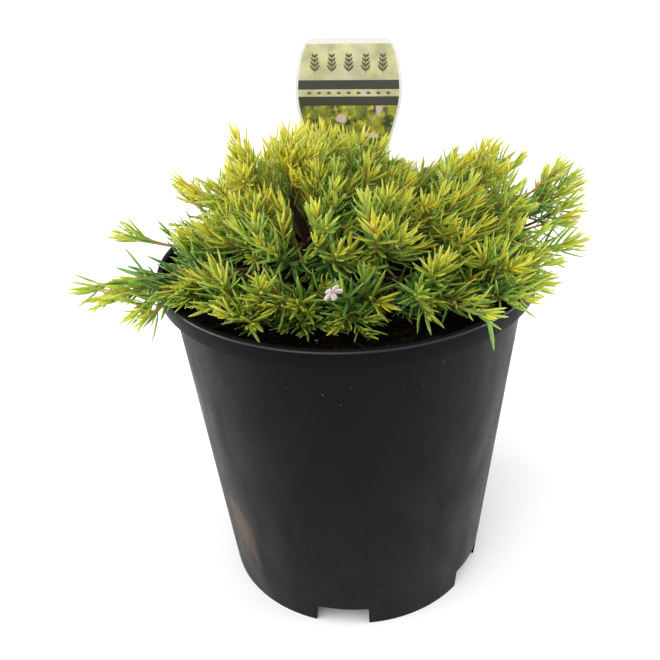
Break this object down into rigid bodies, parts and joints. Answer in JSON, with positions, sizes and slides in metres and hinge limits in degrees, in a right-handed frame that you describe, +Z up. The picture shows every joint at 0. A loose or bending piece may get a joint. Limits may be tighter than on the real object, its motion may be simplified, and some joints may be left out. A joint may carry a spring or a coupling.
{
  "type": "potted golden-leaved pink diosma",
  "caption": "Small evergreen shrub in a round black nursery pot with a plant tag: a low, spreading crown of fine golden-green needle leaves on a short woody stem.",
  "frame": {"origin": "on the floor plane that the pot stands on, below the middle of the whole object's box", "axes": "+Z up along the pot's axis; the picture's camera looks along +Y, so -Y is the front and +X the right"},
  "size_m": [0.1884, 0.1486, 0.2027],
  "materials": {
    "black_plastic": "moulded black polypropylene, satin, with a few dirt marks",
    "potting_mix": "damp, coarse bark-based potting mix",
    "tag_plastic": null,
    "bark": "thin rough brown bark, redder on young shoots",
    "golden_leaf": "living leaf, soft sheen, golden yellow to lime",
    "green_leaf": "living leaf, soft sheen, lime to mid green"
  },
  "bodies": {
    "root": {"pot": "black_plastic", "potting_mix": "potting_mix", "plant_tag": "tag_plastic", "main_stem": "bark", "low_01_bough": "bark", "low_01_foliage": "green_leaf", "low_02_bough": "bark", "low_02_foliage": "green_leaf", "low_03_bough": "bark", "low_03_foliage": "green_leaf", "low_04_bough": "bark", "low_04_foliage": "green_leaf", "low_05_foliage": "green_leaf", "low_06_bough": "bark", "low_06_foliage": "green_leaf", "low_07_bough": "bark", "low_07_foliage": "green_leaf", "low_08_bough": "bark", "low_08_foliage": "green_leaf", "low_09_bough": "bark", "low_09_foliage": "green_leaf", "low_10_bough": "bark", "low_10_foliage": "green_leaf", "low_11_bough": "bark", "low_11_foliage": "green_leaf", "low_12_bough": "bark", "low_12_foliage": "green_leaf", "low_13_bough": "bark", "low_13_foliage": "green_leaf", "low_14_bough": "bark", "low_14_foliage": "green_leaf", "middle_01_bough": "bark", "middle_01_foliage": "golden_leaf", "middle_02_foliage": "golden_leaf", "middle_03_foliage": "golden_leaf", "middle_04_foliage": "golden_leaf", "middle_05_foliage": "golden_leaf", "middle_06_bough": "bark", "middle_06_foliage": "golden_leaf", "middle_07_bough": "bark", "middle_07_foliage": "golden_leaf", "middle_08_bough": "bark", "middle_08_foliage": "golden_leaf", "middle_09_foliage": "golden_leaf", "middle_10_foliage": "golden_leaf", "middle_11_foliage": "golden_leaf", "top_01_foliage": "golden_leaf", "top_02_foliage": "golden_leaf", "top_03_foliage": "golden_leaf", "top_04_foliage": "golden_leaf", "top_05_foliage": "golden_leaf"}
  },
  "joints": []
}
